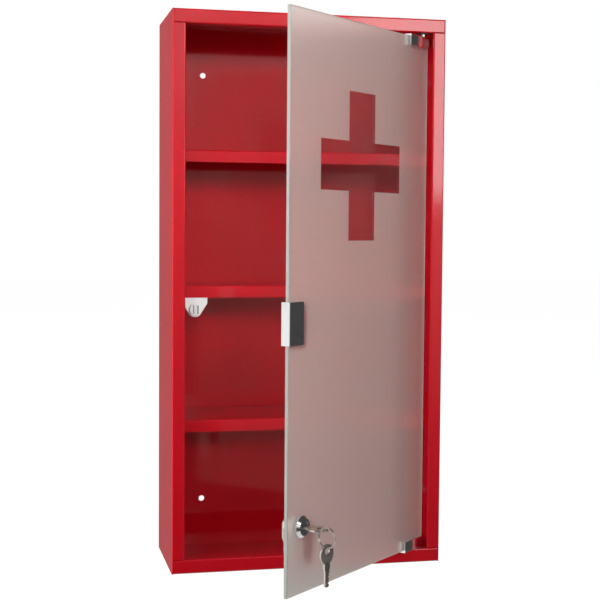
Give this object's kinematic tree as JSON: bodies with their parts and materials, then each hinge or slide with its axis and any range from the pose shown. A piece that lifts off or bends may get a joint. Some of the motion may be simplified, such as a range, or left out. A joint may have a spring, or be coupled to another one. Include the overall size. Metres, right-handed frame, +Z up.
{
  "type": "wall medicine cabinet",
  "caption": "Tall red sheet-steel wall cabinet with fixed shelves, a frosted glass door with a clear cross, pivot clamps, edge pull, magnetic catch and a keyed cam lock.",
  "frame": {"origin": "centre of the four wall holes, on the wall plane at the back panel's outer face", "axes": "+Z up, front towards -Y, +Y into the wall, +X to the right seen from the front"},
  "size_m": [0.3, 0.3118, 0.6],
  "materials": {
    "red_paint": "smooth semi-gloss powder coat",
    "white_paint": "white enamel",
    "white_plastic": "moulded",
    "frosted_glass": "frosted, with a clear cross and bevelled arrises",
    "chrome": "polished",
    "plated_steel": "nickel plated",
    "pale_magnet": "coated, matt",
    "grey_steel": "bare, dull",
    "clear_pad": "soft clear pad",
    "black_plastic": "moulded",
    "black_washer": "matt"
  },
  "bodies": {
    "cabinet": {"left_side_panel": "red_paint", "right_side_panel": "red_paint", "top_panel": "red_paint", "bottom_panel": "red_paint", "back_panel": "red_paint", "shelf_upper": "red_paint", "shelf_middle": "red_paint", "shelf_lower": "red_paint", "top_pivot_bush": "black_plastic", "bottom_pivot_bush": "black_plastic", "catch_plate": "white_paint", "catch_cup": "white_plastic", "catch_magnet": "pale_magnet", "catch_pole_plates": "grey_steel", "catch_rivet": "plated_steel"},
    "door": {"glass_pane": "frosted_glass", "top_clamp": "chrome", "top_clamp_pads": "clear_pad", "top_clamp_screws": "plated_steel", "top_pivot_pin": "plated_steel", "bottom_clamp": "chrome", "bottom_clamp_pads": "clear_pad", "bottom_clamp_screws": "plated_steel", "bottom_pivot_pin": "plated_steel", "door_pull": "chrome", "pull_pads": "clear_pad", "pull_screws": "plated_steel", "lock_barrel": "chrome", "lock_front_washer": "black_washer", "lock_back_washer": "black_washer", "lock_nut": "plated_steel"},
    "lock": {"lock_plug": "chrome", "lock_cam": "plated_steel", "cam_screw": "plated_steel"},
    "key": {"key": "plated_steel"},
    "key_ring": {"key_ring": "plated_steel"},
    "spare_key": {"spare_key": "plated_steel"}
  },
  "joints": [
    {"name": "door_hinge", "type": "hinge", "parent": "cabinet", "child": "door", "pos_m": [0.126, -0.118, 0], "axis": [0, 0, 1], "range_deg": [-43.43, 66.57]},
    {"name": "lock_turn", "type": "hinge", "parent": "door", "child": "lock", "pos_m": [-0.04568, -0.28052, -0.2166], "axis": [-0.6875, 0.7262, 0], "range_deg": [0, 90]},
    {"name": "key_slide", "type": "slide", "parent": "lock", "child": "key", "axis": [0.6875, -0.7262, 0], "range_m": [0, 0.02]},
    {"name": "ring_swing", "type": "hinge", "parent": "key", "child": "key_ring", "pos_m": [-0.024, -0.30341, -0.2166], "axis": [0.6216, -0.7834, 0], "range_deg": [-12, 12]},
    {"name": "spare_swing", "type": "hinge", "parent": "key_ring", "child": "spare_key", "pos_m": [-0.024, -0.30341, -0.23355], "axis": [0.6216, -0.7834, 0], "range_deg": [-20, 20]}
  ]
}
